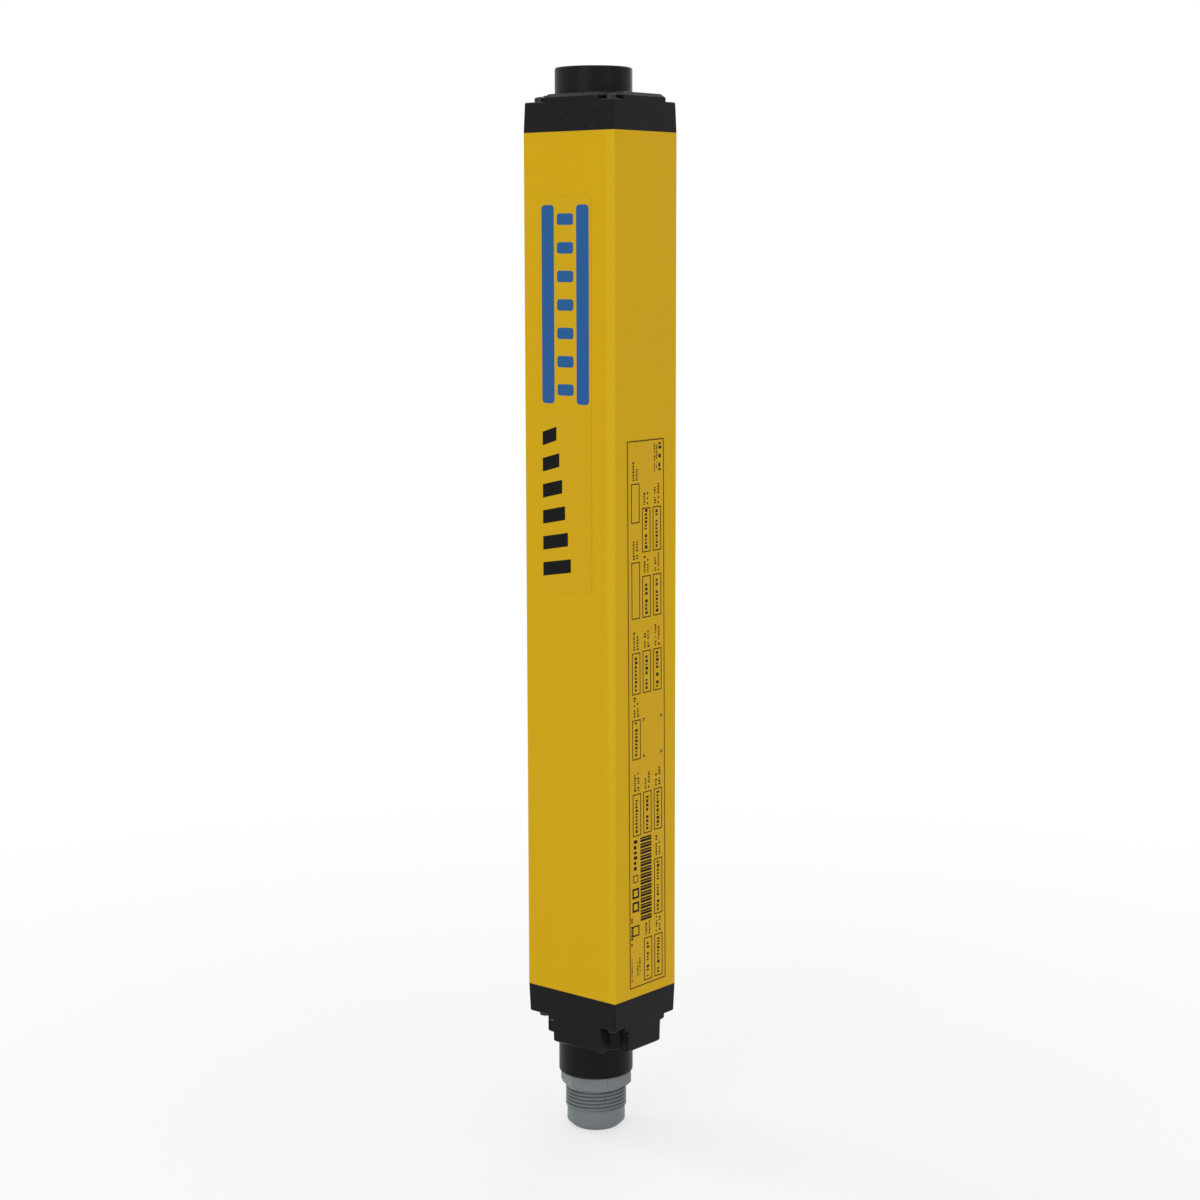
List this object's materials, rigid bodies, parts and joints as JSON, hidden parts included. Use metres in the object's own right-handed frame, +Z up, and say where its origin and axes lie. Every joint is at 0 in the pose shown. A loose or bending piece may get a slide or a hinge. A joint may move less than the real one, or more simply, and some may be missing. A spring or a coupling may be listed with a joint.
{
  "type": "safety light curtain",
  "caption": "Upright machine-safety light curtain bar: yellow square housing, dark front window, black end caps with round swivel hubs and a grey threaded plug below.",
  "frame": {"origin": "on the common axis of the two swivel hubs, in the middle of the lower hub's grip", "axes": "+Z up along the bar towards the upper hub, -Y out through the front window, +X across the wide face that carries the clear film"},
  "size_m": [0.0402, 0.0482, 0.4457],
  "materials": {
    "yellow_coat": "satin powder coat with a fine grain",
    "black_moulding": "satin glass-filled polyamide, finely eroded",
    "dark_window": "polished dark acrylic",
    "seal_rubber": "matt black",
    "screw_steel": "black oxide",
    "plug_grey": "grey, satin",
    "insulator_black": "satin",
    "contact_brass": "plated, bright",
    "wire_jacket": "matt",
    "board_green": "solder mask",
    "chip_black": "moulded",
    "carrier_black": "moulded, light-tight",
    "lens_clear": "clear, polished",
    "diode_clear": "tinted epoxy",
    "capacitor_can": "bare can",
    "ribbon_grey": "flat jacket",
    "foam_grey": "closed-cell foam",
    "film_clear": "clear self-adhesive film",
    "type_plate": "printed self-adhesive film",
    "digit_grey": "grey face",
    "light_lens": "tinted lens"
  },
  "bodies": {
    "root": {"housing_profile": "yellow_coat", "front_screen": "dark_window", "screen_seal_left": "seal_rubber", "screen_seal_right": "seal_rubber", "upper_end_cap": "black_moulding", "lower_end_cap": "black_moulding", "upper_cap_gasket": "seal_rubber", "lower_cap_gasket": "seal_rubber", "upper_cap_screws": "screw_steel", "lower_cap_screws": "screw_steel", "connector_shell": "plug_grey", "connector_insert": "insulator_black", "connector_pins": "contact_brass", "earth_contact": "contact_brass", "connector_o_ring": "seal_rubber", "connector_locknut": "plug_grey", "connector_wires": "wire_jacket", "link_sockets": "insulator_black", "ribbon_cable": "ribbon_grey", "logic_board": "board_green", "wire_socket": "insulator_black", "capacitors": "capacitor_can", "power_choke": "chip_black", "processor_chips": "chip_black", "display_carrier": "carrier_black", "display_board": "board_green", "segment_display": "digit_grey", "status_lights": "light_lens", "board_header": "insulator_black", "spacer_pad": "foam_grey", "side_label": "film_clear", "rating_label": "type_plate", "optics_module_1": "carrier_black", "lens_strip_1": "lens_clear", "diode_board_1": "board_green", "beam_diodes_1": "diode_clear", "optics_module_2": "carrier_black", "lens_strip_2": "lens_clear", "diode_board_2": "board_green", "beam_diodes_2": "diode_clear", "optics_module_3": "carrier_black", "lens_strip_3": "lens_clear", "diode_board_3": "board_green", "beam_diodes_3": "diode_clear"}
  },
  "joints": []
}
